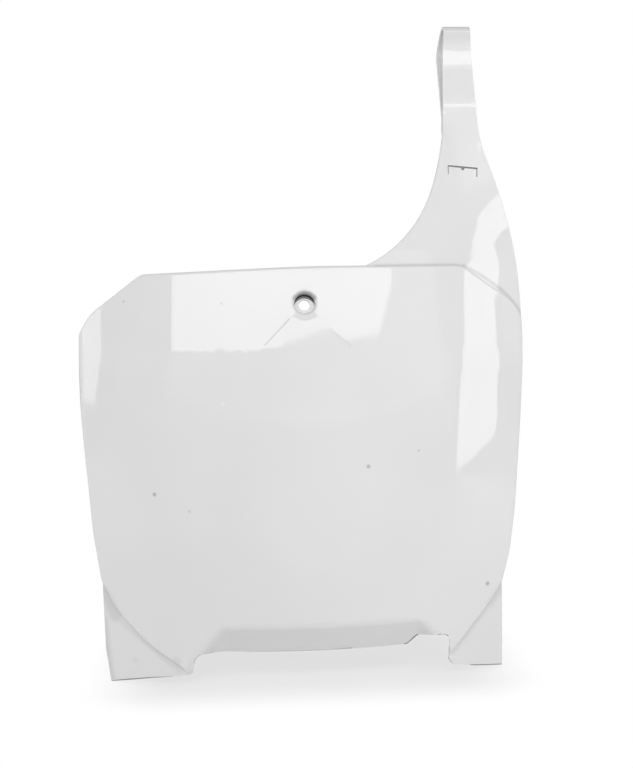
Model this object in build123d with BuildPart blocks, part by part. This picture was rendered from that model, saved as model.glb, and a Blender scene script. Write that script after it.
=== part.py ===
from build123d import *
from math import asin, cos, degrees, hypot, radians, sin, tan
import os

# Racing number board: one moulding in white plastic, with a shield, two legs, a lip and a looped strap.
# Millimetres. Seen from the front, along +Y, +X is to the right and +Z is up.
# The origin is the middle of the bolt hole's wall, at the bottom of the recess. The sizes below count from
# the middle of the recess's mouth, and the finished board is moved by the recess's depth.

# Wall of the moulding
wall = 2.4

# Form of the board: an upright cylinder that bends back into a leaning top band
board_radius = 230.0
lean = 15.0
lean_radius = 90.0
lean_below_hole = 46.0

# Shield in the front view, clockwise from the top left: across, up and corner radius
shield_top = [(-97.0, 19.0, 9), (0.0, 21.4, 900), (97.0, 20.2, 14)]
shield_right = [(131.5, -3.5, 20), (137.1, -13.5, 8), (136.8, -21.0, 20), (133.5, -72.0, 400)]
shield_right += [(128.2, -131.0, 200), (124.2, -156.0, 60), (117.2, -179.0, 40)]
shield_bottom = [(70.0, -228.5, 5), (60.0, -246.0, 5), (-60.0, -246.0, 5), (-62.0, -228.0, 5)]
shield_left = [(-99.0, -203.5, 60), (-119.0, -183.0, 45), (-127.0, -167.5, 30), (-131.4, -137.0, 120)]
shield_left += [(-136.9, -62.0, 300), (-137.2, -17.0, 12), (-129.5, -4.5, 30)]
shield_rise = 3.0
shield_edge_radius = 2.0

# Legs: outer sides, top to bottom, and how far they reach in behind the shield
leg_left_side = [(-126.6, -150.0), (-126.6, -172.0), (-126.0, -209.0), (-122.9, -232.0)]
leg_right_side = [(118.8, -150.0), (118.8, -178.0), (118.4, -212.0), (117.6, -232.0)]
leg_inner_x = 50.0
leg_edge_radius = 1.1

# Bottom edge of the board, left to right: across, up and corner radius
bottom_edge = [(-160.0, -235.0, 0), (-123.7, -229.3, 0), (-98.0, -224.6, 40), (-72.6, -221.0, 3)]
bottom_edge += [(-70.5, -208.3, 6), (57.5, -208.3, 3), (63.5, -202.4, 3), (83.2, -201.8, 5)]
bottom_edge += [(82.6, -221.0, 3), (99.0, -224.8, 60), (117.8, -227.6, 0), (160.0, -230.0, 0)]

# Lip between the legs, bent back
lip_top = -191.0
lip_angle = 35.0
lip_bend_radius = 7.0
lip_left = -52.0
lip_right = 63.0
lip_end_radius = 4.0

# Bolt recess
bolt_hole_diameter = 6.6
recess_diameter = 12.0
recess_depth = 5.6
recess_rim_radius = 2.6
recess_flare = 10.0
recess_flare_width = 12.0

# Raised facet below the recess
facet_lean = 13.3
facet_half_width = 27.5

# Arm: sections up the leaning plane, as length, share of the board's own azimuth that is left,
# radius as a multiple of the board's, and reach to each side of the strap
strap_x = 103.5
arm_sections = [(5, 1.0, 1.0, 95, 55), (30, 1.0, 1.0, 90, 55), (55, 1.0, 1.0, 80, 52)]
arm_sections += [(92, 0.7, 1.11, 60, 50), (120, 0.265, 1.565, 40, 40)]
arm_sections += [(142, 0.0, 2.17, 30, 30), (156, 0.0, 2.17, 30, 30)]

# Sides of the arm in the front view, as across from the strap and up
arm_left_curve = [(-67.0, 20.5), (-37.0, 41.8), (-24.3, 61.0), (-16.6, 82.7), (-11.9, 106.0), (-10.9, 118.0)]
arm_right_curve = [(10.2, 118.0), (10.5, 106.0), (12.9, 92.0), (17.5, 78.8), (24.6, 57.4), (31.7, 27.2)]
arm_right_curve += [(33.7, 5.0), (33.4, -18.0)]
arm_edge_radius = 0.9
arm_tuck_left = 20.0
arm_tuck_right = (30.0, 10.0)

# Strap: it rises from the arm, turns upright, loops back and ends behind the arm
strap_azimuth = 6.0
strap_thickness = 2.0
strap_root_length = 140.0
strap_foot = 114.5
strap_foot_height = 5.0
strap_foot_radius = 20.0
strap_proud = 0.45
strap_root_overlap = 12.0
strap_upright = 153.0
strap_upright_radius = 90.0
strap_top = 169.0
strap_pinch = 112.0
strap_pinch_radius = 7.0
strap_pinch_clearance = 0.4
strap_tip = 74.0
strap_tip_clearance = 2.2

# Crown of the loop: back from the upright run, up from the strap's top and bend radius
strap_crown = [(0.3, 0.0, 3.0), (7.4, 0.0, 7.0), (16.9, -15.0, 8.0)]

# Strap's width in the front view, as across from the strap's middle and up
strap_outline = [(-12.0, 60.0), (-12.0, 104.0), (-6.0, 180.0), (9.8, 180.0), (10.4, 104.0), (10.4, 60.0)]

# Slit round three sides of the tongue
slit_middle = (-1.8, 78.0)
slit_width = 19.6
slit_height = 5.8
slit_tilt = -5.3
slit_top_gap = 1.0
slit_side_gap = 0.6
slit_notch_radius = 1.2
slit_notch_drop = 0.7

os.makedirs("parts", exist_ok=True)

# Places that follow from the sizes above
lean_end_below_hole = lean_below_hole - lean_radius * sin(radians(lean))
face_y = -lean_radius * (1 - cos(radians(lean))) - lean_end_below_hole * tan(radians(lean))
axis_y = face_y + board_radius
lean_start_z = -lean_below_hole
lean_end_y = face_y + lean_radius * (1 - cos(radians(lean)))
lean_end_z = -lean_end_below_hole
board_azimuth = degrees(asin(strap_x / board_radius))
strap_inset = board_radius * (1 - cos(radians(board_azimuth)))

# Blocks that are larger than the board, to be cut from
block_depth = 18.0
block_side_clearance = 2.8
cut_margin = 2.0
core_depth = block_depth + 2 * cut_margin
shield_half_width = max(abs(corner[0]) for corner in shield_left + shield_right)
block_half_width = shield_half_width + block_side_clearance
core_half_width = block_half_width + cut_margin
edge_margin = 0.1
lowest_z = -250.0
cutter_bottom = -260.0
top_band_length = 75.0
through = 200.0


def board_block(front_depth, back_depth, half_width, top_lean=lean):
    """Slab that follows the board's front, from one depth behind it to another."""
    half_angle = degrees(asin(half_width / board_radius))
    with BuildPart() as block:
        with BuildSketch(Plane.XY.offset(lean_start_z)) as plan:
            with BuildLine():
                front = CenterArc((0, axis_y), board_radius - front_depth, 270 - half_angle, 2 * half_angle)
                back = CenterArc((0, axis_y), board_radius - back_depth, 270 - half_angle, 2 * half_angle)
                Line(front @ 0, back @ 0)
                Line(front @ 1, back @ 1)
            make_face()
        extrude(plan.sketch, amount=lowest_z - lean_start_z)
        bend_axis = Axis((0, face_y + lean_radius, lean_start_z), (-1, 0, 0))
        revolve(plan.sketch, axis=bend_axis, revolution_arc=top_lean)
        extrude(block.faces().sort_by(Axis.Z)[-1], amount=top_band_length)
    return block.part


def depth_behind_front(point):
    """How far a point lies behind the front of the board."""
    back, up = point.Y - lean_end_y, point.Z - lean_end_z
    if point.Z < lean_start_z:
        depth = point.Y - face_y
    elif back * sin(radians(lean)) + up * cos(radians(lean)) < 0:
        depth = lean_radius - hypot(point.Y - face_y - lean_radius, point.Z - lean_start_z)
    else:
        depth = back * cos(radians(lean)) - up * sin(radians(lean))
    return board_radius - hypot(point.X, board_radius - depth)


def edges_at_depth(block, depth):
    """Edges of the faces square to the front view that lie at one depth behind the board's front."""
    sides = block.faces().filter_by(lambda face: abs(face.normal_at().Y) < 0.01)
    return sides.edges().filter_by(lambda edge: abs(depth_behind_front(edge @ 0.5) - depth) < edge_margin)


def rounded_outline(corners):
    """Closed face through corners that each have a radius."""
    with BuildSketch() as outline:
        with BuildLine():
            points = [corner[:2] for corner in corners]
            FilletPolyline(*points, radius=[corner[2] for corner in corners], close=True)
        make_face()
    return outline.sketch


def lip_cutter(inset):
    """Everything in front of the lip, whose two ends fade out as upright cones."""
    slope = tan(radians(lip_angle))
    start = inset / cos(radians(lip_angle))
    deepest = start + (lip_top - cutter_bottom) * slope
    highest = lip_top + (lip_end_radius + start) / slope
    left = degrees(asin(lip_left / board_radius))
    right = degrees(asin(lip_right / board_radius))
    outward = Vector(sin(radians(left)), -cos(radians(left)), 0)
    front_radius = board_radius + lip_end_radius
    with BuildPart() as cutter:
        with BuildSketch(Plane(origin=(0, axis_y, 0), x_dir=outward, z_dir=outward.cross(Vector(0, 0, 1)))):
            with BuildLine():
                Polyline(
                    (front_radius, highest),
                    (board_radius - deepest, cutter_bottom),
                    (front_radius, cutter_bottom),
                    close=True,
                )
            make_face()
        revolve(axis=Axis((0, axis_y, 0), (0, 0, 1)), revolution_arc=right - left)
        for azimuth in (left, right):
            end_x = front_radius * sin(radians(azimuth))
            end_y = axis_y - front_radius * cos(radians(azimuth))
            with Locations((end_x, end_y, cutter_bottom)):
                upward = (Align.CENTER, Align.CENTER, Align.MIN)
                Cone(lip_end_radius + deepest, 0, highest - cutter_bottom, align=upward)
    return cutter.part


def lipped_block(inset, back_depth, half_width):
    """Slab that follows the board's front, with its lip bent back."""
    with BuildPart() as block:
        add(board_block(inset, back_depth, half_width))
        add(lip_cutter(inset), mode=Mode.SUBTRACT)
        lip_edges = block.faces().filter_by(GeomType.CONE).edges()
        depths = [(edge, depth_behind_front(edge @ 0.5)) for edge in lip_edges]
        lip_edges = [edge for edge, depth in depths if abs(depth - inset) < edge_margin]
        fillet(lip_edges, lip_bend_radius - inset)
    return block.part


def shield_block(inset, back_depth, half_width):
    """The shield as a deep block, set in from all its surfaces by one amount."""
    with BuildPart() as block:
        add(board_block(inset, back_depth, half_width))
        with BuildSketch(Plane.XZ):
            add(shield_outline)
            if inset > 0:
                offset(amount=-inset, mode=Mode.REPLACE)
        extrude(amount=through, both=True, mode=Mode.INTERSECT)
        if inset == 0:
            fillet(edges_at_depth(block, 0), shield_edge_radius)
    return block.part


def legs_block():
    """Both legs as a deep block, set back from the shield, with their outer edges rounded."""
    with BuildPart() as block:
        add(board_block(shield_rise, block_depth, block_half_width))
        with BuildSketch(Plane.XZ):
            for side, inner_x in ((leg_left_side, -leg_inner_x), (leg_right_side, leg_inner_x)):
                with BuildLine():
                    outer = Polyline(*side)
                    Polyline(outer @ 1, (inner_x, (outer @ 1).Y), (inner_x, (outer @ 0).Y), outer @ 0)
                make_face()
        extrude(amount=through, both=True, mode=Mode.INTERSECT)
        outer_edges = edges_at_depth(block, shield_rise)
        outer_edges = outer_edges.filter_by(lambda edge: abs((edge @ 0.5).X) > leg_inner_x + wall)
        outer_edges = outer_edges.filter_by(lambda edge: abs((edge @ 0).Z - (edge @ 1).Z) > wall)
        fillet(outer_edges, leg_edge_radius)
    return block.part


def arm_block(front_depth, back_depth):
    """Slab that continues the board up the leaning plane and turns to face the front at the strap."""
    with BuildPart() as block:
        for length, azimuth_share, radius_share, left_reach, right_reach in arm_sections:
            azimuth = strap_azimuth + azimuth_share * (board_azimuth - strap_azimuth)
            radius = radius_share * board_radius
            up, across = sin(radians(lean)), cos(radians(lean))
            centre = (0, lean_end_y + length * up, lean_end_z + length * across)
            with BuildSketch(Plane(origin=centre, x_dir=(1, 0, 0), z_dir=(0, up, across))):
                middle_x = strap_x - radius * sin(radians(azimuth))
                middle_y = strap_inset + radius * cos(radians(azimuth))
                first = 270 + degrees(asin((strap_x - left_reach - middle_x) / radius))
                last = 270 + degrees(asin((strap_x + right_reach - middle_x) / radius))
                with BuildLine():
                    front = CenterArc((middle_x, middle_y), radius - front_depth, first, last - first)
                    back = CenterArc((middle_x, middle_y), radius - back_depth, first, last - first)
                    Line(front @ 0, back @ 0)
                    Line(front @ 1, back @ 1)
                make_face()
        loft()
    return block.part


def arm_sketch():
    """The arm's outline in the front view, reaching down behind the shield."""
    with BuildSketch() as outline:
        with BuildLine():
            left = Spline(*[(strap_x + across, up) for across, up in arm_left_curve])
            right = Spline(*[(strap_x + across, up) for across, up in arm_right_curve])
            Line(left @ 1, right @ 0)
            tucked_right = (right @ 1) - Vector(*arm_tuck_right)
            tucked_left = (left @ 0) - Vector(0, arm_tuck_left)
            Polyline(right @ 1, tucked_right, tucked_left, left @ 0)
        make_face()
    return outline.sketch


def arm_front_block():
    """The arm as a deep block with its two long edges rounded."""
    with BuildPart() as block:
        add(arm_block(shield_rise, block_depth))
        with BuildSketch(Plane.XZ):
            add(arm_outline)
        extrude(amount=through, both=True, mode=Mode.INTERSECT)
        sides = block.faces().filter_by(lambda face: abs(face.normal_at().Y) < 0.01)
        long_sides = sides.sort_by(SortBy.AREA)[-2:]
        front_edges = [side.edges().sort_by(SortBy.LENGTH)[-2:].sort_by(Axis.Y)[0] for side in long_sides]
        fillet(front_edges, arm_edge_radius)
    return block.part


def arm_clearance_sketch():
    """The arm's outline beyond the shield, let out by one wall."""
    with BuildSketch() as outline:
        add(arm_outline)
        offset(amount=wall, mode=Mode.REPLACE)
        add(shield_outline, mode=Mode.SUBTRACT)
    return outline.sketch


def back_slab():
    """Everything behind the walls that stand back from the shield, without the arm."""
    with BuildPart() as block:
        add(board_block(shield_rise + wall, core_depth, core_half_width))
        with BuildSketch(Plane.XZ):
            Rectangle(2 * through, 3 * through)
            add(arm_clearance_sketch(), mode=Mode.SUBTRACT)
        extrude(amount=through, both=True, mode=Mode.INTERSECT)
    return block.part


def facet_block():
    """Raised facet below the recess, between two creases at 45 degrees."""
    with BuildPart() as block:
        add(board_block(0, block_depth, block_half_width, facet_lean))
        with BuildSketch(Plane.XZ):
            with BuildLine():
                crease_end = (facet_half_width, -facet_half_width)
                Polyline((-facet_half_width, -facet_half_width), (0, 0), crease_end, close=True)
            make_face()
        extrude(amount=through, both=True, mode=Mode.INTERSECT)
    return block.part


def recess_cutter():
    """The recess, its rounded rim and the bolt hole as one turned form."""
    step = recess_diameter / 2
    rim = step + recess_rim_radius
    flare_rise = recess_flare_width * tan(radians(recess_flare))
    hole = bolt_hole_diameter / 2
    below_hole = -2 * recess_depth
    with BuildPart() as cutter:
        with BuildSketch(bolt_section):
            with BuildLine():
                Polyline((0, below_hole), (hole, below_hole), (hole, -recess_depth), (step, -recess_depth))
                Line((step, -recess_depth), (step, -recess_rim_radius))
                RadiusArc((step, -recess_rim_radius), (rim, 0), recess_rim_radius)
                Polyline((rim, 0), (rim + recess_flare_width, flare_rise), (0, flare_rise), (0, below_hole))
            make_face()
        revolve(axis=Axis((0, 0, 0), bolt_out))
    return cutter.part


def arm_face_back(height):
    """How far behind the strap's root plane the arm's face lies at one height."""
    return (height - strap_root_z) * tan(radians(lean)) / cos(radians(strap_azimuth))


def strap_loop():
    """The strap's run, loop and tip, as a band of even thickness cut to its width."""
    proud = strap_thickness / 2 - strap_proud
    behind_wall = wall + strap_thickness / 2
    root = strap_foot - strap_root_overlap
    shoulder = strap_foot + strap_foot_height
    upright = arm_face_back(strap_upright) + proud
    course = [(arm_face_back(root) + wall / 2, root)]
    course += [(arm_face_back(strap_foot) + wall / 2, strap_foot)]
    course += [(arm_face_back(shoulder) + proud, shoulder), (upright, strap_upright)]
    course += [(upright + back, strap_top + up) for back, up, bend in strap_crown]
    course += [(arm_face_back(strap_pinch) + behind_wall + strap_pinch_clearance, strap_pinch)]
    course += [(arm_face_back(strap_tip) + behind_wall + strap_tip_clearance, strap_tip)]
    bends = [strap_foot_radius, strap_foot_radius, strap_upright_radius]
    bends += [bend for back, up, bend in strap_crown] + [strap_pinch_radius]
    with BuildPart() as loop:
        with BuildSketch(strap_side):
            with BuildLine():
                FilletPolyline(*course, radius=bends)
            trace(line_width=strap_thickness)
        extrude(amount=through, both=True)
        with BuildSketch(strap_front):
            with BuildLine():
                Polyline(*strap_outline, close=True)
            make_face()
        extrude(amount=through, both=True, mode=Mode.INTERSECT)
    return loop.part


def slit_cutter():
    """Slit round the top and sides of the tongue, with a small round notch in its top."""
    with BuildPart() as cutter:
        with BuildSketch(strap_front):
            with Locations(Location((slit_middle[0], slit_middle[1]), slit_tilt)):
                with Locations((0, (slit_height - slit_top_gap) / 2)):
                    Rectangle(slit_width, slit_top_gap)
                with Locations((0, (slit_height - slit_top_gap) / 2 - slit_notch_drop)):
                    Circle(slit_notch_radius)
                with Locations(((slit_side_gap - slit_width) / 2, 0), ((slit_width - slit_side_gap) / 2, 0)):
                    Rectangle(slit_side_gap, slit_height)
        extrude(amount=through)
    return cutter.part


shield_outline = rounded_outline(shield_top + shield_right + shield_bottom + shield_left)
arm_outline = arm_sketch()

# Planes of the bolt and of the strap's root
bolt_out = Vector(0, -cos(radians(lean)), sin(radians(lean)))
bolt_section = Plane(origin=(0, 0, 0), x_dir=(1, 0, 0), z_dir=Vector(1, 0, 0).cross(bolt_out))
strap_root_depth = strap_inset + shield_rise
strap_root_y = lean_end_y + strap_root_length * sin(radians(lean)) + strap_root_depth * cos(radians(lean))
strap_root_z = lean_end_z + strap_root_length * cos(radians(lean)) - strap_root_depth * sin(radians(lean))
strap_across = Vector(cos(radians(strap_azimuth)), sin(radians(strap_azimuth)), 0)
strap_back = Vector(-sin(radians(strap_azimuth)), cos(radians(strap_azimuth)), 0)
strap_side = Plane(origin=(strap_x, strap_root_y, 0), x_dir=strap_back, z_dir=strap_across)
strap_front = Plane(origin=(strap_x, strap_root_y, 0), x_dir=strap_across, z_dir=-strap_back)

# Front form: every front surface, on one deep solid
with BuildPart() as front_form:
    add(shield_block(0, block_depth, block_half_width))
    add(legs_block())
    add(lipped_block(0, block_depth, block_half_width), mode=Mode.INTERSECT)
    add(arm_front_block())
    add(facet_block())
    with BuildSketch(Plane.XZ):
        with BuildLine():
            points = [corner[:2] for corner in bottom_edge]
            lower = FilletPolyline(*points, radius=[corner[2] for corner in bottom_edge[1:-1]])
            right_end = ((lower @ 1).X, cutter_bottom)
            left_end = ((lower @ 0).X, cutter_bottom)
            Polyline(lower @ 1, right_end, left_end, lower @ 0)
        make_face()
    extrude(amount=through, both=True, mode=Mode.SUBTRACT)

# Back form: everything behind the wall
with BuildPart() as back_form:
    add(shield_block(wall, core_depth, core_half_width))
    add(back_slab())
    add(lipped_block(wall, core_depth, core_half_width), mode=Mode.INTERSECT)
    add(arm_block(shield_rise + wall, core_depth))

# The moulding, with the middle of the bolt hole's mouth at the origin
with BuildPart() as moulding:
    add(front_form.part)
    add(back_form.part, mode=Mode.SUBTRACT)
    with BuildSketch(Plane(origin=bolt_out * (-wall / 2), x_dir=(1, 0, 0), z_dir=bolt_out)):
        Circle(recess_diameter / 2 + wall)
    extrude(amount=-(recess_depth + wall / 2))
    add(recess_cutter(), mode=Mode.SUBTRACT)
    add(slit_cutter(), mode=Mode.SUBTRACT)
    add(strap_loop())

# The finished board, with the middle of the bolt hole's wall at the origin
with BuildPart() as number_board:
    with Locations(bolt_out * (recess_depth + wall / 2)):
        add(moulding.part)

number_board.part.label = "number_board"
export_step(number_board.part, "parts/number_board.step")
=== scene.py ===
"""Racing number board: one white moulding with a shield, two legs, a bent lip and a looped strap.

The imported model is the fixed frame. Everything is in metres, +X to the right and +Z up as seen from the
front, and the front faces -Y. This script finishes the moulding in gloss white plastic, stands it on a
pale floor in soft studio light and looks at it from the front.
"""
import logging
from dataclasses import dataclass
from enum import Enum
from math import cos, hypot, pi, radians, sin

import bpy
from mathutils import Matrix, Vector


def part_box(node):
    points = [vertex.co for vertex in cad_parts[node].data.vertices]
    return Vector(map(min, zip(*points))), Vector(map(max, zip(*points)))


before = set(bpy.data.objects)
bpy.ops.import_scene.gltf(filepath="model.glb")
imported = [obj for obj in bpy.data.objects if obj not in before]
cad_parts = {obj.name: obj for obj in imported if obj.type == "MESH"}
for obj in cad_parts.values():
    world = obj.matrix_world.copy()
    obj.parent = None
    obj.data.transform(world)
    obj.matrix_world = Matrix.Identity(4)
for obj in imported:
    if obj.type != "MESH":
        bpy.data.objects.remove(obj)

LOG = logging.getLogger("number_board")
BOARD_NODE = "number_board"

Colour = tuple[float, float, float]
Point = tuple[float, float, float]
Spot = tuple[float, float]
Span = tuple[float, float]
Outline = tuple[Spot, ...]


def grey(level: float) -> Colour:
    """A neutral linear colour."""
    return (level, level, level)


def arc(centre: Spot, radius: float, start: float, end: float, pieces: int) -> Outline:
    """Points along a round stretch.

    Args:
        centre: the arc's centre.
        radius: the arc's radius.
        start: the first point's angle, in degrees from the right.
        end: the last point's angle.
        pieces: the number of straight pieces that the points part it into.

    Returns:
        The points in order.
    """
    angles = [radians(start + (end - start) * step / pieces) for step in range(pieces + 1)]
    return tuple((centre[0] + radius * cos(angle), centre[1] + radius * sin(angle)) for angle in angles)


def rectangle(left: float, right: float, bottom: float, top: float) -> Outline:
    """A rectangle's corners, counter-clockwise."""
    return ((left, bottom), (right, bottom), (right, top), (left, top))


def below_level(top: float, lower_edge: Outline) -> Outline:
    """The shape between a lower edge, given from left to right, and a level top, counter-clockwise."""
    return lower_edge + ((lower_edge[-1][0], top), (lower_edge[0][0], top))


class MarkKind(Enum):
    """What a small mark on the moulding is: a real speck, chip or smudge, or painted shade."""

    SPECK = "dark speck"
    CHIP = "pale chip"
    # The real smudges and all painted shade and painted contact shadow use this kind.
    GRIME = "grime left in a corner"


@dataclass(frozen=True)
class Mark:
    """One mark on the board's front, round a point or along a line, in metres across and up.

    Its core is the share of the radius that has the full strength.
    """

    start: Spot
    radius: float
    strength: float
    kind: MarkKind = MarkKind.SPECK
    end: Spot | None = None
    core: float = 0.2


@dataclass(frozen=True)
class ShadeLine:
    """Painted shade along a line through two or more points on the board's front."""

    radius: float
    strength: float
    points: Outline

    def marks(self) -> list[Mark]:
        """One mark for each straight piece of the line."""
        pieces = zip(self.points, self.points[1:])
        return [Mark(start, self.radius, self.strength, MarkKind.GRIME, end) for start, end in pieces]


class ShaderGraph:
    """Short names for adding nodes to one node tree."""

    def __init__(self, tree: bpy.types.NodeTree) -> None:
        """Keeps the tree.

        Args:
            tree: the node tree to add to.
        """
        self.tree = tree

    @classmethod
    def emptied(cls, owner: bpy.types.ID) -> "ShaderGraph":
        """The node tree of a material, world or light, with nothing left in it.

        Args:
            owner: the material, world or light.

        Returns:
            The graph that adds to its tree.
        """
        owner.use_nodes = True
        owner.node_tree.nodes.clear()
        return cls(owner.node_tree)

    def node(self, kind: str, **settings: object) -> bpy.types.Node:
        """Adds one node.

        Args:
            kind: the node's type, such as "ShaderNodeMath".
            settings: attributes to set on it.

        Returns:
            The new node.
        """
        made = self.tree.nodes.new(kind)
        for name, value in settings.items():
            setattr(made, name, value)
        return made

    def plug(self, target: bpy.types.NodeSocket, value: object) -> None:
        """Joins a socket to another one, or sets it to a plain value.

        Args:
            target: the input socket.
            value: the output socket or the value.
        """
        if isinstance(value, bpy.types.NodeSocket):
            self.tree.links.new(value, target)
        else:
            target.default_value = value

    def math(self, operation: str, first: object, second: object = 0.0,
             clamp: bool = False) -> bpy.types.NodeSocket:
        """A math node's result.

        Args:
            operation: Blender's name of the operation.
            first: the first socket or number.
            second: the second socket or number.
            clamp: True keeps the result from 0 to 1.

        Returns:
            The result's socket.
        """
        made = self.node("ShaderNodeMath", operation=operation, use_clamp=clamp)
        self.plug(made.inputs[0], first)
        self.plug(made.inputs[1], second)
        return made.outputs[0]

    def vector(self, operation: str, first: object, second: object) -> bpy.types.NodeOutputs:
        """A vector math node's results.

        Args:
            operation: Blender's name of the operation.
            first: the first socket or vector.
            second: the second socket or vector.

        Returns:
            The node's outputs: a vector first, then a number.
        """
        made = self.node("ShaderNodeVectorMath", operation=operation)
        self.plug(made.inputs[0], first)
        self.plug(made.inputs[1], second)
        return made.outputs

    def split(self, vector: object) -> bpy.types.NodeOutputs:
        """A vector's parts.

        Args:
            vector: the socket of the vector.

        Returns:
            The node's outputs X, Y and Z.
        """
        made = self.node("ShaderNodeSeparateXYZ")
        self.plug(made.inputs[0], vector)
        return made.outputs

    def ramp(self, value: object, low: object, high: object,
             start: object = 0.0, end: object = 1.0) -> bpy.types.NodeSocket:
        """A smooth change from one result to another.

        Args:
            value: the socket that drives it.
            low: the value at which the change starts.
            high: the value at which it ends.
            start: the result up to low.
            end: the result from high on.

        Returns:
            The result's socket.
        """
        made = self.node("ShaderNodeMapRange", interpolation_type="SMOOTHSTEP")
        for socket, number in zip(made.inputs, (value, low, high, start, end)):
            self.plug(socket, number)
        return made.outputs[0]

    def mix(self, share: object, first: object, second: object) -> bpy.types.NodeSocket:
        """A colour between two others.

        Args:
            share: 0 for the first colour, 1 for the second.
            first: the first colour or socket.
            second: the second colour or socket.

        Returns:
            The colour's socket.
        """
        made = self.node("ShaderNodeMix", data_type="RGBA")
        self.plug(made.inputs[0], share)
        for socket, colour in ((made.inputs[6], first), (made.inputs[7], second)):
            self.plug(socket, (*colour, 1.0) if isinstance(colour, tuple) else colour)
        return made.outputs[2]

    def noise(self, place: object, scale: object, detail: float = 2.0) -> bpy.types.NodeSocket:
        """Plain noise from 0 to 1 over the surface.

        Args:
            place: the socket of the surface's points.
            scale: the noise's scale.
            detail: how many finer layers it has.

        Returns:
            The noise's socket.
        """
        made = self.node("ShaderNodeTexNoise")
        self.plug(made.inputs["Vector"], place)
        self.plug(made.inputs["Scale"], scale)
        self.plug(made.inputs["Detail"], detail)
        return made.outputs["Fac"]

    def place(self) -> bpy.types.NodeSocket:
        """The point of the surface in the object's own frame, in metres."""
        return self.node("ShaderNodeTexCoord").outputs["Object"]

    def stretched(self, place: object, turn: Point, scale: Point) -> bpy.types.NodeSocket:
        """The place turned and then stretched, for marks that run one way.

        Args:
            place: the socket of the surface's points.
            turn: the turns about the three axes, in degrees.
            scale: the stretches along the three axes.

        Returns:
            The new points' socket.
        """
        made = self.node("ShaderNodeMapping", vector_type="POINT")
        self.plug(made.inputs["Vector"], place)
        made.inputs["Rotation"].default_value = [radians(angle) for angle in turn]
        made.inputs["Scale"].default_value = scale
        return made.outputs["Vector"]

    def white_to_camera(self, lit: bpy.types.NodeSocket, white: bpy.types.NodeSocket,
                        share: object = 1.0) -> bpy.types.NodeSocket:
        """A lit shader that the camera's own rays see as plain white.

        Args:
            lit: the shader that lights the object and takes its shadow.
            white: the plain white shader.
            share: how much of the white the camera sees.

        Returns:
            The joined shader's socket.
        """
        camera_ray = self.node("ShaderNodeLightPath").outputs["Is Camera Ray"]
        blend = self.node("ShaderNodeMixShader")
        self.plug(blend.inputs[0], self.math("MULTIPLY", share, camera_ray))
        self.plug(blend.inputs[1], lit)
        self.plug(blend.inputs[2], white)
        return blend.outputs[0]

    def output(self, kind: str, surface: bpy.types.NodeSocket) -> None:
        """Adds the tree's output node of the given type, with the shader that it shows."""
        self.plug(self.node(kind).inputs["Surface"], surface)


class EffectGroup:
    """A shader node group, built the first time that it is placed.

    Its named inputs are numbers or vectors, and its named outputs are all numbers.
    """

    NAME: str
    INPUTS: dict[str, object]
    OUTPUTS: tuple[str, ...]

    @classmethod
    def placed(cls, graph: ShaderGraph, values: dict[str, object]) -> bpy.types.Node:
        """Adds a node that holds the group.

        Args:
            graph: the graph that the node goes into.
            values: the inputs that have a value of their own there.

        Returns:
            The group's node.
        """
        made = graph.node("ShaderNodeGroup", node_tree=cls._tree())
        for title, value in values.items():
            made.inputs[title].default_value = value
        return made

    @classmethod
    def _tree(cls) -> bpy.types.NodeTree:
        """The group's node tree, built the first time.

        Returns:
            The tree.
        """
        if cls.NAME in bpy.data.node_groups:
            return bpy.data.node_groups[cls.NAME]
        tree = bpy.data.node_groups.new(cls.NAME, "ShaderNodeTree")
        for title, value in cls.INPUTS.items():
            kind = "NodeSocketVector" if isinstance(value, tuple) else "NodeSocketFloat"
            socket = tree.interface.new_socket(title, in_out="INPUT", socket_type=kind)
            socket.default_value = value
        for title in cls.OUTPUTS:
            tree.interface.new_socket(title, in_out="OUTPUT", socket_type="NodeSocketFloat")
        graph = ShaderGraph(tree)
        given = graph.node("NodeGroupInput").outputs
        targets = graph.node("NodeGroupOutput").inputs
        for title, socket in cls._results(graph, given).items():
            graph.plug(targets[title], socket)
        return tree

    @classmethod
    def _results(cls, graph: ShaderGraph, given: bpy.types.NodeOutputs) -> dict[str, object]:
        """Builds what the group does, which each effect says for itself.

        Args:
            graph: the group's own graph.
            given: the group's inputs.

        Returns:
            The socket for each output.
        """
        raise NotImplementedError


class HandlingWear(EffectGroup):
    """Hairline scratches in patches, a slow cloud and a fine grain, as a handled moulding has.

    Each run of hairlines has its turns in degrees and its stretches, and an edge is the span of noise in
    which a mark comes up.
    """

    NAME = "handling wear"
    INPUTS = {"Scratch Share": 0.1, "Cloud Scale": 9.0, "Grain Scale": 900.0}
    OUTPUTS = ("Scratches", "Cloud", "Grain")
    HAIRLINES = (((0, 24, 8), (14, 60, 900)), ((0, -38, -6), (10, 60, 700)), ((0, 71, 0), (16, 60, 1100)))
    HAIRLINE_EDGE = (0.74, 0.80)
    PATCH_SCALE = 22.0
    PATCH_EDGE = (0.52, 0.68)

    @classmethod
    def _results(cls, graph: ShaderGraph, given: bpy.types.NodeOutputs) -> dict[str, object]:
        """Builds the scratches, the cloud and the grain.

        Args:
            graph: the group's own graph.
            given: the group's inputs.

        Returns:
            The socket for each output.
        """
        place = graph.place()
        scratches = 0.0
        for turn, stretch in cls.HAIRLINES:
            lines = graph.noise(graph.stretched(place, turn, stretch), scale=1.0, detail=1.0)
            scratches = graph.math("MAXIMUM", scratches, graph.ramp(lines, *cls.HAIRLINE_EDGE))
        patches = graph.ramp(graph.noise(place, cls.PATCH_SCALE), *cls.PATCH_EDGE)
        scratches = graph.math("MULTIPLY", scratches, patches)
        scratches = graph.math("MULTIPLY", scratches, given["Scratch Share"])
        cloud = graph.noise(place, given["Cloud Scale"])
        grain = graph.noise(place, given["Grain Scale"])
        return {"Scratches": scratches, "Cloud": cloud, "Grain": grain}


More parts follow.
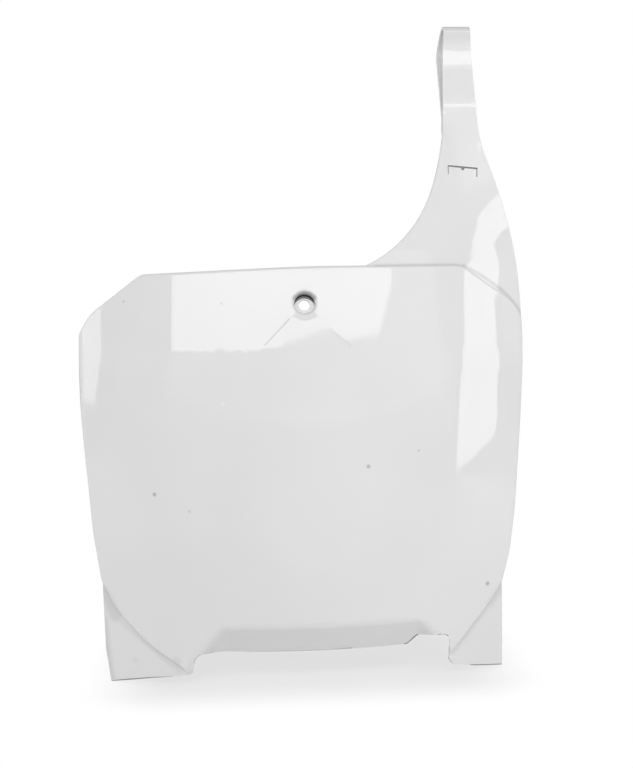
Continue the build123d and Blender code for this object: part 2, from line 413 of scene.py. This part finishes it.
class MarkShape(EffectGroup):
    """A soft mark along a line on the front, or round a point where the line has no length."""

    NAME = "mark shape"
    STILL = (0.0, 0.0, 0.0)
    INPUTS = {"Start": STILL, "Reach": STILL, "Core": 0.001, "Radius": 0.002, "Strength": 1.0}
    OUTPUTS = ("Mask",)
    ACROSS_AND_UP = (1.0, 0.0, 1.0)

    @classmethod
    def _results(cls, graph: ShaderGraph, given: bpy.types.NodeOutputs) -> dict[str, object]:
        """Builds the mask, from each point's distance to the line, seen from the front.

        Args:
            graph: the group's own graph.
            given: the group's inputs.

        Returns:
            The socket for the output.
        """
        flat = graph.vector("MULTIPLY", graph.place(), cls.ACROSS_AND_UP)[0]
        from_start = graph.vector("SUBTRACT", flat, given["Start"])[0]
        reached = graph.vector("DOT_PRODUCT", from_start, given["Reach"])[1]
        length = graph.vector("DOT_PRODUCT", given["Reach"], given["Reach"])[1]
        share = graph.math("DIVIDE", reached, length, clamp=True)
        along = graph.node("ShaderNodeVectorMath", operation="SCALE")
        graph.plug(along.inputs[0], given["Reach"])
        graph.plug(along.inputs["Scale"], share)
        away = graph.vector("DISTANCE", from_start, along.outputs[0])[1]
        return {"Mask": graph.ramp(away, given["Core"], given["Radius"], given["Strength"], 0.0)}

    @classmethod
    def mask(cls, graph: ShaderGraph, mark: Mark) -> bpy.types.NodeSocket:
        """The share of a mark at each point, up to its strength.

        Args:
            graph: the material's graph.
            mark: the mark.

        Returns:
            The share's socket.
        """
        end = mark.end or mark.start
        values = {
            "Start": (mark.start[0], 0.0, mark.start[1]),
            "Reach": (end[0] - mark.start[0], 0.0, end[1] - mark.start[1]),
            "Core": mark.core * mark.radius,
            "Radius": mark.radius,
            "Strength": mark.strength,
        }
        return cls.placed(graph, values).outputs["Mask"]


@dataclass(frozen=True)
class GlossWhitePlastic:
    """Gloss white moulded polypropylene with light wear and painted shade.

    The painted shade in the bolt's recess is a dark crescent: the shaded round, less the lower round that
    stays bright.
    """

    marks: tuple[Mark, ...]
    name: str = "gloss_white_plastic"
    body: Colour = grey(0.80)
    shade: Colour = grey(0.765)
    shade_edge: Span = (0.30, 0.75)
    speck: Colour = (0.16, 0.15, 0.14)
    chip: Colour = grey(0.93)
    # The tint of the real smudges and of all painted shade and painted contact shadow.
    grime: Colour = grey(0.10)
    # Painted shade: the dark crescent in the bolt's recess, cut from the first round by the second.
    recess_shade: Colour = grey(0.006)
    recess_shaded_round: Mark = Mark((0.0, 0.0), 0.0065, 1.0, core=0.93)
    recess_unshaded_round: Mark = Mark((0.0, -0.0030), 0.0073, 1.0, core=0.90)
    index: float = 1.5
    gloss_roughness: float = 0.02
    cloud_roughness: float = 0.03
    scratch_roughness: float = 0.2
    scratch_share: float = 0.35
    back_roughness: float = 0.34
    back_edge: Span = (0.1, 0.35)
    grain_strength: float = 0.04
    grain_height: float = 0.00005

    def material(self) -> bpy.types.Material:
        """Builds the material.

        Returns:
            The finished material.
        """
        made = bpy.data.materials.new(self.name)
        graph = ShaderGraph.emptied(made)
        wear = HandlingWear.placed(graph, {"Scratch Share": self.scratch_share})
        back = self._facing_back(graph)
        shader = graph.node("ShaderNodeBsdfPrincipled")
        shader.inputs["IOR"].default_value = self.index
        graph.plug(shader.inputs["Base Color"], self._colour(graph, wear, back))
        graph.plug(shader.inputs["Roughness"], self._roughness(graph, wear, back))
        graph.plug(shader.inputs["Normal"], self._grain(graph, wear))
        graph.output("ShaderNodeOutputMaterial", shader.outputs["BSDF"])
        return made

    def _facing_back(self, graph: ShaderGraph) -> bpy.types.NodeSocket:
        """1 on surfaces that face backwards, which come duller out of the mould, and 0 on the front."""
        normal = graph.node("ShaderNodeNewGeometry").outputs["True Normal"]
        return graph.ramp(graph.split(normal)["Y"], *self.back_edge)

    def _colour(self, graph: ShaderGraph, wear: bpy.types.Node, back: object) -> bpy.types.NodeSocket:
        """The plastic's colour with its marks and painted shade, which lie on the front alone.

        Args:
            graph: the material's graph.
            wear: the wear group's node.
            back: the share that faces backwards.

        Returns:
            The colour's socket.
        """
        front = graph.math("SUBTRACT", 1.0, back)
        colour = graph.mix(graph.ramp(wear.outputs["Cloud"], *self.shade_edge), self.body, self.shade)
        # The third tint paints the smudges and also the painted shade and painted contact shadow.
        tints = {MarkKind.SPECK: self.speck, MarkKind.CHIP: self.chip, MarkKind.GRIME: self.grime}
        for kind, tint in tints.items():
            share = 0.0
            for mark in self.marks:
                if mark.kind is kind:
                    share = graph.math("MAXIMUM", share, MarkShape.mask(graph, mark))
            colour = graph.mix(graph.math("MULTIPLY", share, front), colour, tint)
        # Painted shade: the dark crescent in the upper part of the bolt's recess.
        shaded_round = MarkShape.mask(graph, self.recess_shaded_round)
        unshaded_round = MarkShape.mask(graph, self.recess_unshaded_round)
        crescent = graph.math("SUBTRACT", shaded_round, unshaded_round, clamp=True)
        return graph.mix(graph.math("MULTIPLY", crescent, front), colour, self.recess_shade)

    def _roughness(self, graph: ShaderGraph, wear: bpy.types.Node, back: object) -> bpy.types.NodeSocket:
        """The roughness: gloss with clouds and scratches, and duller on the back.

        Args:
            graph: the material's graph.
            wear: the wear group's node.
            back: the share that faces backwards.

        Returns:
            The roughness's socket.
        """
        clouds = graph.math("MULTIPLY", wear.outputs["Cloud"], self.cloud_roughness)
        scratches = graph.math("MULTIPLY", wear.outputs["Scratches"], self.scratch_roughness)
        rough = graph.math("ADD", self.gloss_roughness, clouds)
        rough = graph.math("ADD", rough, scratches)
        return graph.math("MAXIMUM", rough, graph.math("MULTIPLY", back, self.back_roughness))

    def _grain(self, graph: ShaderGraph, wear: bpy.types.Node) -> bpy.types.NodeSocket:
        """The normal, with the mould's fine grain.

        Args:
            graph: the material's graph.
            wear: the wear group's node.

        Returns:
            The normal's socket.
        """
        bump = graph.node("ShaderNodeBump")
        bump.inputs["Strength"].default_value = self.grain_strength
        bump.inputs["Distance"].default_value = self.grain_height
        graph.plug(bump.inputs["Height"], wear.outputs["Grain"])
        return bump.outputs["Normal"]


@dataclass(frozen=True)
class NumberBoard:
    """The moulding itself: the CAD node in its own finish, with the marks that handling left and painted
    shade.

    Painted shade lines are wide and faint, and the contact shadow lines are thin dark painted shadow under
    an edge.
    """

    large_speck_radius: float = 0.00198
    speck_radius: float = 0.0018
    faint_radius: float = 0.00126
    crease_radius: float = 0.0006
    edge_radius: float = 0.0008
    corner_radius: float = 0.0009
    recess_rim_radius: float = 0.0070
    recess_rim_pieces: int = 4

    def specks(self) -> list[Mark]:
        """The small specks on the face, and the pale chip left of its middle.

        Returns:
            Their marks.
        """
        return [
            Mark((0.1083, -0.1729), self.large_speck_radius, 0.50),
            Mark((0.0348, -0.0955), self.speck_radius, 0.50),
            Mark((-0.0921, -0.1103), self.speck_radius, 0.50),
            Mark((0.0655, -0.0878), self.faint_radius, 0.25),
            Mark((-0.1078, 0.0048), self.faint_radius, 0.25),
            Mark((-0.0713, -0.1200), self.faint_radius, 0.25),
            Mark((-0.0488, 0.0024), self.faint_radius, 0.20),
            Mark((-0.0499, -0.0565), self.speck_radius, 0.45, MarkKind.CHIP),
        ]

    def smudges(self) -> list[Mark]:
        """The two faint smudges on the left leg."""
        left, right = (-0.1075, -0.2130), (-0.0820, -0.2108)
        return [Mark(left, 0.0032, 0.07, MarkKind.GRIME), Mark(right, 0.0044, 0.10, MarkKind.GRIME)]

    def top_shade(self) -> list[ShadeLine]:
        """The painted shade in the facet's two creases, over the bolt's recess and along the style line.

        Returns:
            Its lines.
        """
        facet_left = ((-0.0092, -0.0074), (-0.0240, -0.0222))
        facet_right = ((0.0187, -0.0169), (0.0262, -0.0244))
        recess_rim = arc((0.0, 0.0), self.recess_rim_radius, 140.0, 40.0, self.recess_rim_pieces)
        style_corner = (0.0992, 0.0212)
        style_left = ((0.0430, 0.0224), (0.0740, 0.0222), (0.0934, 0.0218), style_corner)
        style_slope = (style_corner, (0.1103, 0.0153), (0.1224, 0.0072), (0.1297, 0.0008))
        style_end = ((0.1350, -0.0056), (0.1366, -0.0100))
        # Painted shade: darker lines in the creases, over the recess's rim and along the style line's
        # step.
        return [
            ShadeLine(radius=self.crease_radius, strength=0.30, points=facet_left),
            ShadeLine(radius=self.crease_radius, strength=0.12, points=facet_right),
            ShadeLine(radius=0.0027, strength=0.50, points=recess_rim),
            ShadeLine(radius=0.0016, strength=0.12, points=style_left),
            ShadeLine(radius=0.0018, strength=0.22, points=style_slope + style_end),
        ]

    def painted_shades(self) -> list[ShadeLine]:
        """The painted shade at the legs' tops, in their creases, along their outer edges and at the
        strap's top.

        Returns:
            Their lines.
        """
        left_top = ((-0.1265, -0.1720), (-0.1190, -0.1860))
        left_crease = ((-0.1190, -0.1870), (-0.1036, -0.1985), (-0.0811, -0.2170))
        left_edge = ((-0.1290, -0.1900), (-0.1250, -0.2280))
        right_top = ((0.1173, -0.1780), (0.1101, -0.1860))
        right_crease = ((0.1101, -0.1860), (0.1003, -0.1966), (0.0849, -0.2129))
        right_edge = ((0.1255, -0.1800), (0.1238, -0.2240))
        strap_top = ((0.0930, 0.1680), (0.1120, 0.1680))
        # Painted shade: the legs darker at their tops, creases and outer edges, and the strap darker at
        # its top.
        return [
            ShadeLine(radius=0.0064, strength=0.16, points=left_top),
            ShadeLine(radius=0.0034, strength=0.07, points=left_crease),
            ShadeLine(radius=0.0064, strength=0.20, points=left_edge),
            ShadeLine(radius=0.0050, strength=0.10, points=right_top),
            ShadeLine(radius=0.0030, strength=0.05, points=right_crease),
            ShadeLine(radius=0.0036, strength=0.22, points=right_edge),
            ShadeLine(radius=0.0120, strength=0.13, points=strap_top),
        ]

    def contact_shadow_lines(self) -> list[ShadeLine]:
        """Painted contact shadow under both legs, round the lip's left corner, under the lip and in the
        notch.

        Returns:
            Their lines.
        """
        left_leg = ((-0.1225, -0.2274), (-0.1148, -0.2257), (-0.0997, -0.2230), (-0.0849, -0.2213))
        right_leg = ((0.0965, -0.2225), (0.1180, -0.2258))
        lip_corner = ((-0.0712, -0.2115), (-0.0700, -0.2088), (-0.0680, -0.2074))
        lip_start = ((-0.0640, -0.2069), (-0.0600, -0.2067))
        lip = ((-0.0400, -0.2068), (-0.0077, -0.2066), (0.0103, -0.2067), (0.0230, -0.2062))
        notch_left = ((0.0560, -0.2065), (0.0581, -0.2060), (0.0616, -0.2020), (0.0634, -0.2007))
        notch_right = ((0.0757, -0.2003), (0.0795, -0.2006), (0.0814, -0.2014))
        # Painted contact shadow: thin dark lines along the lower edges.
        return [
            ShadeLine(radius=self.edge_radius, strength=0.80, points=left_leg),
            ShadeLine(radius=self.edge_radius, strength=0.80, points=right_leg),
            ShadeLine(radius=self.corner_radius, strength=0.60, points=lip_corner + lip_start),
            ShadeLine(radius=self.edge_radius, strength=0.45, points=lip),
            ShadeLine(radius=0.0010, strength=0.85, points=notch_left),
            ShadeLine(radius=self.corner_radius, strength=0.75, points=notch_right),
        ]

    def dress(self, node: bpy.types.Object) -> None:
        """Gives the CAD node its finish.

        Args:
            node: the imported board.
        """
        marks = self.specks() + self.smudges()
        # The lines add painted shade and painted contact shadow to the real specks, chip and smudges.
        for line in self.top_shade() + self.painted_shades() + self.contact_shadow_lines():
            marks += line.marks()
        finish = GlossWhitePlastic(tuple(marks)).material()
        node.data.materials.clear()
        node.data.materials.append(finish)
        LOG.info("dressed %s with %s, %d faces", node.name, finish.name, len(node.data.polygons))


@dataclass(frozen=True)
class Softbox:
    """A studio light with a plain shape, whose edges show in the gloss.

    Its azimuth, from the front to the right, and its elevation are in degrees. Its shapes are convex and
    lie in its own plane, as points across and up, counter-clockwise as it faces the board.
    """

    name: str
    azimuth: float
    elevation: float
    distance: float
    radiance: float
    shapes: tuple[Outline, ...]
    softness: float = 0.008

    def axes(self) -> tuple[Vector, Vector, Vector]:
        """The light's own directions.

        Returns:
            The directions across, up and away from the board.
        """
        across, rise = radians(self.azimuth), radians(self.elevation)
        away = Vector((sin(across) * cos(rise), -cos(across) * cos(rise), sin(rise)))
        right = Vector((0.0, 0.0, 1.0)).cross(away).normalized()
        return right, away.cross(right), away

    def extent(self) -> tuple[float, float, float, float]:
        """The reach of all its shapes.

        Returns:
            The left, right, bottom and top.
        """
        across = [point[0] for shape in self.shapes for point in shape]
        up = [point[1] for shape in self.shapes for point in shape]
        return min(across), max(across), min(up), max(up)

    def place(self) -> None:
        """Sets the light up."""
        right, up, away = self.axes()
        left_end, right_end, bottom, top = self.extent()
        light = bpy.data.lights.new(self.name, "AREA")
        light.shape = "RECTANGLE"
        light.size, light.size_y = right_end - left_end, top - bottom
        light.energy = self.radiance * pi * light.size * light.size_y
        graph = ShaderGraph.emptied(light)
        glow = graph.node("ShaderNodeEmission")
        graph.plug(glow.inputs["Strength"], self._doors(graph))
        graph.output("ShaderNodeOutputLight", glow.outputs[0])
        lamp = bpy.data.objects.new(self.name, light)
        bpy.context.scene.collection.objects.link(lamp)
        spot = away * self.distance + right * (left_end + right_end) / 2 + up * (bottom + top) / 2
        lamp.matrix_world = Matrix.Translation(spot) @ Matrix((right, up, away)).transposed().to_4x4()
        LOG.info("placed %s at %s", self.name, tuple(round(value, 3) for value in spot))

    def _doors(self, graph: ShaderGraph) -> object:
        """1 inside any of the shapes and 0 outside, as barn doors cut a light.

        Args:
            graph: the light's graph.

        Returns:
            The socket of the light's strength.
        """
        right, up, away = self.axes()
        place = graph.node("ShaderNodeNewGeometry").outputs["Position"]
        inside_any = 0.0
        for shape in self.shapes:
            inside = 1.0
            for (start_x, start_y), (end_x, end_y) in zip(shape, shape[1:] + shape[:1]):
                length = hypot(end_x - start_x, end_y - start_y)
                inward = (right * (start_y - end_y) + up * (end_x - start_x)) / length
                start = away * self.distance + right * start_x + up * start_y
                reach = graph.vector("DOT_PRODUCT", place, inward)[1]
                from_edge = graph.math("SUBTRACT", reach, inward.dot(start))
                inside = graph.math("MULTIPLY", inside, graph.ramp(from_edge, 0.0, self.softness))
            inside_any = graph.math("MAXIMUM", inside_any, inside)
        return inside_any


class StudioLights:
    """The softboxes round the board, each shaped so that its reflection has the right outline."""

    def front_panel(self) -> Softbox:
        """The broad dim panel in front, which gives the face its even sheen."""
        panel = rectangle(left=-1.79, right=1.79, bottom=-0.22, top=1.30)
        return Softbox("front_panel", azimuth=4, elevation=0, distance=1.5, radiance=0.70, shapes=(panel,))

    def top_softbox(self) -> Softbox:
        """The softbox high in front, whose stepped lower edge ends the highlight under the top band.

        Returns:
            The softbox.
        """
        top = 1.66
        left = ((-2.36, 1.10), (-0.84, 0.85), (-0.44, 0.825), (-0.29, 0.875), (-0.15, 0.97))
        middle = ((-0.20, 0.950), (0.10, 0.955), (0.27, 0.967), (0.45, 0.985), (0.72, 1.16))
        right = ((0.68, 1.13), (1.16, 1.18))
        corner = ((1.12, 1.18), (1.30, 1.20), (1.66, 1.40), (1.66, 1.45), (1.12, 1.40))
        return Softbox(
            "top_softbox", azimuth=0, elevation=0, distance=2.2, radiance=3.0, softness=0.004,
            shapes=tuple(below_level(top, edge) for edge in (left, middle, right)) + (corner,),
        )

    def right_softbox(self) -> Softbox:
        """The upright softbox on the right, for the long highlight on the face's right and on the arm.

        Returns:
            The softbox.
        """
        foot = ((-0.116, -0.362), (0.175, -0.314), (0.192, -0.289), (0.196, -0.240), (-0.062, -0.240))
        body_right = ((-0.067, -0.271), (0.196, -0.260), (0.262, 0.130), (0.262, 0.200))
        body_left = ((0.148, 0.232), (0.077, 0.223), (-0.020, 0.040))
        tip = ((0.240, 0.146), (0.350, 0.140), (0.350, 0.175), (0.240, 0.200))
        return Softbox(
            "right_softbox", azimuth=63, elevation=8, distance=0.95, radiance=3.1, softness=0.005,
            shapes=(foot, body_right + body_left, tip),
        )

    def left_softbox(self) -> Softbox:
        """The narrow softbox on the left, for the short highlight along the face's left edge.

        Returns:
            The softbox.
        """
        right_side = ((-0.09, -0.34), (-0.01, -0.34), (0.03, -0.22), (-0.04, 0.24))
        left_side = ((-0.36, 0.24), (-0.20, -0.10))
        return Softbox(
            "left_softbox", azimuth=-74, elevation=8, distance=1.3, radiance=2.6,
            shapes=(right_side + left_side,),
        )

    def fills(self) -> list[Softbox]:
        """The dim square panels beside the board, which lift its sides.

        Returns:
            The left one and the right one.
        """
        half = 0.60
        panel = rectangle(-half, half, -half, half)
        sides = (("left_fill", -104, 0.72), ("right_fill", 104, 0.30))
        return [
            Softbox(name, azimuth, elevation=10, distance=1.5, radiance=radiance, shapes=(panel,))
            for name, azimuth, radiance in sides
        ]

    def place(self) -> None:
        """Sets all of them up."""
        shaped = [self.front_panel(), self.top_softbox(), self.right_softbox(), self.left_softbox()]
        for softbox in shaped + self.fills():
            softbox.place()


@dataclass(frozen=True)
class PalePaper:
    """Matt paper that takes the board's shadow and lies plain white to the camera further off.

    The shadow shows on the ground at the board's foot, given by its middle and half sizes, and fades out
    round it. Even there the camera sees a share of white.
    """

    name: str = "pale_floor"
    colour: Colour = grey(0.82)
    shadow_middle: float = 0.05
    shadow_half_depth: float = 0.05
    shadow_half_width: float = 0.085
    fade: float = 0.06
    white_within: float = 0.55

    def material(self) -> bpy.types.Material:
        """Builds the material.

        Returns:
            The finished material.
        """
        made = bpy.data.materials.new(self.name)
        graph = ShaderGraph.emptied(made)
        paper = graph.node("ShaderNodeBsdfDiffuse")
        paper.inputs["Color"].default_value = (*self.colour, 1.0)
        white = graph.node("ShaderNodeEmission")
        far = graph.ramp(self._from_shadow(graph), 0.0, self.fade, self.white_within, 1.0)
        shown = graph.white_to_camera(paper.outputs[0], white.outputs[0], far)
        graph.output("ShaderNodeOutputMaterial", shown)
        return made

    def _from_shadow(self, graph: ShaderGraph) -> bpy.types.NodeSocket:
        """How far a point of the floor lies outside the shadow's ground.

        Args:
            graph: the material's graph.

        Returns:
            The distance's socket.
        """
        place = graph.split(graph.place())
        across = graph.math("SUBTRACT", graph.math("ABSOLUTE", place["X"]), self.shadow_half_width)
        across = graph.math("MAXIMUM", across, 0.0)
        deep = graph.math("ABSOLUTE", graph.math("SUBTRACT", place["Y"], self.shadow_middle))
        deep = graph.math("MAXIMUM", graph.math("SUBTRACT", deep, self.shadow_half_depth), 0.0)
        across_square = graph.math("MULTIPLY", across, across)
        deep_square = graph.math("MULTIPLY", deep, deep)
        return graph.math("SQRT", graph.math("ADD", across_square, deep_square))


@dataclass(frozen=True)
class Surround:
    """The world's even light, dimmer in front and below, which the camera sees as plain white.

    It brightens while the backward part of the direction goes through its turn, and dims downwards while
    the upward part goes through its horizon.
    """

    front: float = 0.43
    back: float = 0.90
    turn: Span = (0.25, 0.85)
    below_share: float = 0.56
    horizon: Span = (-0.75, 0.05)

    def place(self) -> None:
        """Sets the world up."""
        world = bpy.data.worlds.new("studio_surround")
        graph = ShaderGraph.emptied(world)
        direction = graph.split(graph.node("ShaderNodeTexCoord").outputs["Generated"])
        from_behind = graph.ramp(direction["Y"], *self.turn, self.front, self.back)
        from_below = graph.ramp(direction["Z"], *self.horizon, self.below_share, 1.0)
        light = graph.node("ShaderNodeBackground")
        graph.plug(light.inputs["Strength"], graph.math("MULTIPLY", from_behind, from_below))
        white = graph.node("ShaderNodeBackground")
        white.inputs["Color"].default_value = (1.0, 1.0, 1.0, 1.0)
        shown = graph.white_to_camera(light.outputs[0], white.outputs[0])
        graph.output("ShaderNodeOutputWorld", shown)
        bpy.context.scene.world = world


@dataclass(frozen=True)
class FrontCamera:
    """The camera at the photograph's angle, with its turns in degrees."""

    lens: float = 71.5
    sensor: float = 36.0
    yaw: float = 3.08
    pitch: float = -4.08
    roll: float = -1.45
    distance: float = 0.900
    target: Point = (0.00575, -0.00657, -0.04637)

    def place(self) -> None:
        """Sets the camera up."""
        yaw, pitch = radians(self.yaw), radians(self.pitch)
        forward = Vector((sin(yaw) * cos(pitch), cos(yaw) * cos(pitch), sin(pitch)))
        level = Vector((cos(yaw), -sin(yaw), 0.0))
        right = Matrix.Rotation(radians(-self.roll), 3, forward) @ level
        turned = Matrix((right, right.cross(forward), -forward)).transposed().to_4x4()
        data = bpy.data.cameras.new("front_camera")
        data.lens, data.sensor_width = self.lens, self.sensor
        camera = bpy.data.objects.new("front_camera", data)
        bpy.context.scene.collection.objects.link(camera)
        spot = Vector(self.target) - forward * self.distance
        camera.matrix_world = Matrix.Translation(spot) @ turned
        bpy.context.scene.camera = camera
        LOG.info("placed the camera at %s", tuple(round(value, 3) for value in spot))


@dataclass(frozen=True)
class Studio:
    """The pale floor, the white surround, the lights and the camera."""

    floor_half: float = 6.0

    def lay_floor(self, height: float) -> None:
        """Lays the floor.

        Args:
            height: the floor's height, where the board stands.
        """
        half = self.floor_half
        mesh = bpy.data.meshes.new("studio_floor")
        corners = [(across, deep, height) for across, deep in rectangle(-half, half, -half, half)]
        mesh.from_pydata(corners, [], [(0, 1, 2, 3)])
        floor = bpy.data.objects.new("studio_floor", mesh)
        bpy.context.scene.collection.objects.link(floor)
        mesh.materials.append(PalePaper().material())
        LOG.info("laid the floor at %.3f", height)

    def build(self, height: float) -> None:
        """Sets up the floor, surround, lights and camera.

        Args:
            height: the floor's height.
        """
        self.lay_floor(height)
        Surround().place()
        StudioLights().place()
        FrontCamera().place()


def main() -> None:
    """Dresses the board and sets the studio round it."""
    logging.basicConfig(level=logging.INFO, format="%(message)s")
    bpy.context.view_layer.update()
    NumberBoard().dress(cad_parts[BOARD_NODE])
    lowest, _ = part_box(BOARD_NODE)
    Studio().build(lowest.z)
    bpy.context.scene.view_settings.view_transform = "Standard"


if __name__ == "__main__":
    main()
